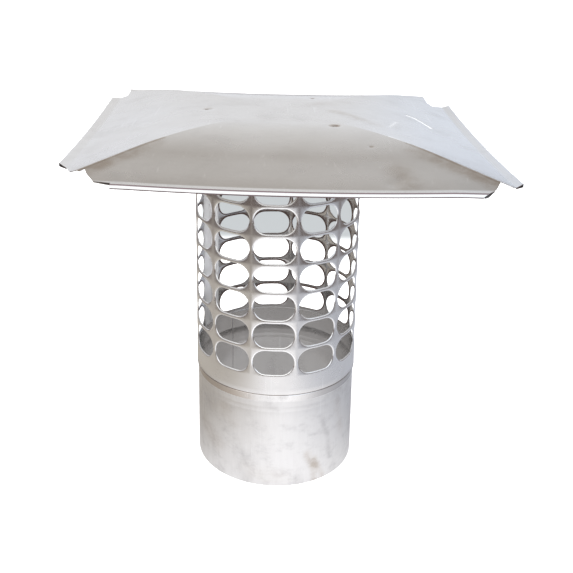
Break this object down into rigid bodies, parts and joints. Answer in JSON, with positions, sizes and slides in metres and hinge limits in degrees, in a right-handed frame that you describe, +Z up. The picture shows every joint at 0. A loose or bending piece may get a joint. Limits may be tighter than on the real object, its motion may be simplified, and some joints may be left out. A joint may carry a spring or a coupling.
{
  "type": "chimney cap",
  "caption": "Square hipped lid on a round slotted screen tube with a plain collar that slips inside a round flue.",
  "frame": {"origin": "centre of the collar's bottom rim, on the tube's axis", "axes": "+Z up along the tube towards the lid, -Y the front, +X the right side seen from the front"},
  "size_m": [0.3591, 0.3593, 0.3384],
  "materials": {
    "lid_sheet": "satin stainless sheet",
    "screen_sheet": "satin stainless sheet, punched and rolled",
    "collar_sheet": "satin stainless sheet, rolled"
  },
  "bodies": {
    "root": {"lid": "lid_sheet", "screen": "screen_sheet", "collar": "collar_sheet"}
  },
  "joints": []
}
